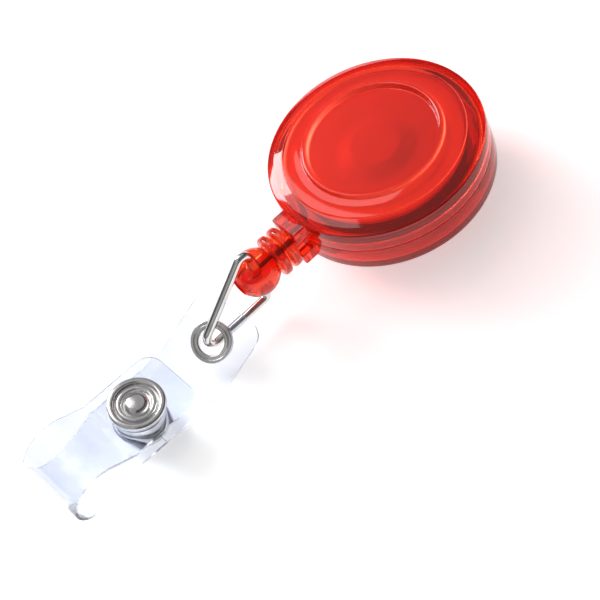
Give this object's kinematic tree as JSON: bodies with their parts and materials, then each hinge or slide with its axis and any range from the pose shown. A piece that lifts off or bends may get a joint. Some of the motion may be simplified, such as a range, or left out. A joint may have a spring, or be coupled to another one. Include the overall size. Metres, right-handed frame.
{
  "type": "retractable badge reel",
  "caption": "Round spring-wound badge reel with a ball-stopped cord, wire loop, clear snap strap for a badge and a steel belt clip.",
  "frame": {"origin": "on the spool axis, in the plane of the belt clip's outer face, which is what the reel lies on", "axes": "+Z along the spool axis from the belt clip towards the front face; -X is the way the cord leaves the case"},
  "size_m": [0.082, 0.032, 0.0141],
  "materials": {
    "shell_plastic": "glossy, see-through red",
    "stop_plastic": "glossy, see-through red",
    "spool_plastic": "satin white",
    "spring_steel": "polished spring steel",
    "cord_nylon": "braided black nylon",
    "wire_nickel": "bright nickel plate",
    "eyelet_nickel": "bright nickel plate",
    "strap_vinyl": "clear soft vinyl",
    "snap_nickel": "bright nickel plate, lightly worn",
    "clip_steel": "nickel-plated spring steel",
    "rivet_steel": "nickel-plated steel"
  },
  "bodies": {
    "case": {"front_shell": "shell_plastic", "back_shell": "shell_plastic", "cord_inner_lead": "cord_nylon", "belt_clip_plate": "clip_steel", "clip_rivet": "rivet_steel", "rivet_washer": "rivet_steel"},
    "spool": {"spool": "spool_plastic", "spring_cover": "spool_plastic", "power_spring": "spring_steel", "wound_cord": "cord_nylon"},
    "cord_end": {"cord_end": "cord_nylon", "cord_knot": "cord_nylon"},
    "stop": {"cord_stop": "stop_plastic"},
    "loop": {"wire_loop": "wire_nickel"},
    "eyelet": {"eyelet": "eyelet_nickel", "eyelet_washer": "eyelet_nickel"},
    "strap": {"strap_back": "strap_vinyl", "snap_stud": "snap_nickel", "snap_post": "snap_nickel"},
    "flap": {"strap_flap": "strap_vinyl", "snap_cap": "snap_nickel", "snap_socket": "snap_nickel", "socket_spring": "spring_steel"},
    "clip_tongue": {"belt_clip_tongue": "clip_steel"}
  },
  "joints": [
    {"name": "spool_spin", "type": "hinge", "parent": "case", "child": "spool", "pos_m": [0, 0, 0.0082], "axis": [0, 0, 1], "range_deg": [0, 3840]},
    {"name": "pull_out", "type": "slide", "parent": "case", "child": "cord_end", "axis": [-1, 0, 0], "range_m": [0, 0.8], "stiffness_N_per_m": 0.375, "springref_m": -0.8},
    {"name": "stop_twist", "type": "hinge", "parent": "cord_end", "child": "stop", "pos_m": [-0.0244, 0, 0.0089], "axis": [1, 0, 0], "continuous": true},
    {"name": "loop_swing", "type": "hinge", "parent": "stop", "child": "loop", "pos_m": [-0.0244, 0, 0.0089], "axis": [0, 0, 1], "range_deg": [-90, 90]},
    {"name": "strap_swing", "type": "hinge", "parent": "loop", "child": "eyelet", "pos_m": [-0.0355, 0, 0.004], "axis": [0, 1, 0], "range_deg": [0, 12]},
    {"name": "strap_turn", "type": "hinge", "parent": "eyelet", "child": "strap", "pos_m": [-0.03499, -0.00024, 0.00429], "axis": [0.4225, 0.4213, -0.8025], "range_deg": [-80, 80]},
    {"name": "flap_open", "type": "hinge", "parent": "strap", "child": "flap", "pos_m": [-0.0658, -0.00185, 0.00561], "axis": [0.0428, -0.9807, -0.1908], "range_deg": [0, 110]},
    {"name": "clip_flex", "type": "hinge", "parent": "case", "child": "clip_tongue", "pos_m": [0.0136, 0, 0.0021], "axis": [0, -1, 0], "range_deg": [0, 8], "stiffness_Nm_per_rad": 0.9}
  ],
  "couplings": [
    {"joint": "spool_spin", "follows": "pull_out", "rad_per_m": 83}
  ]
}
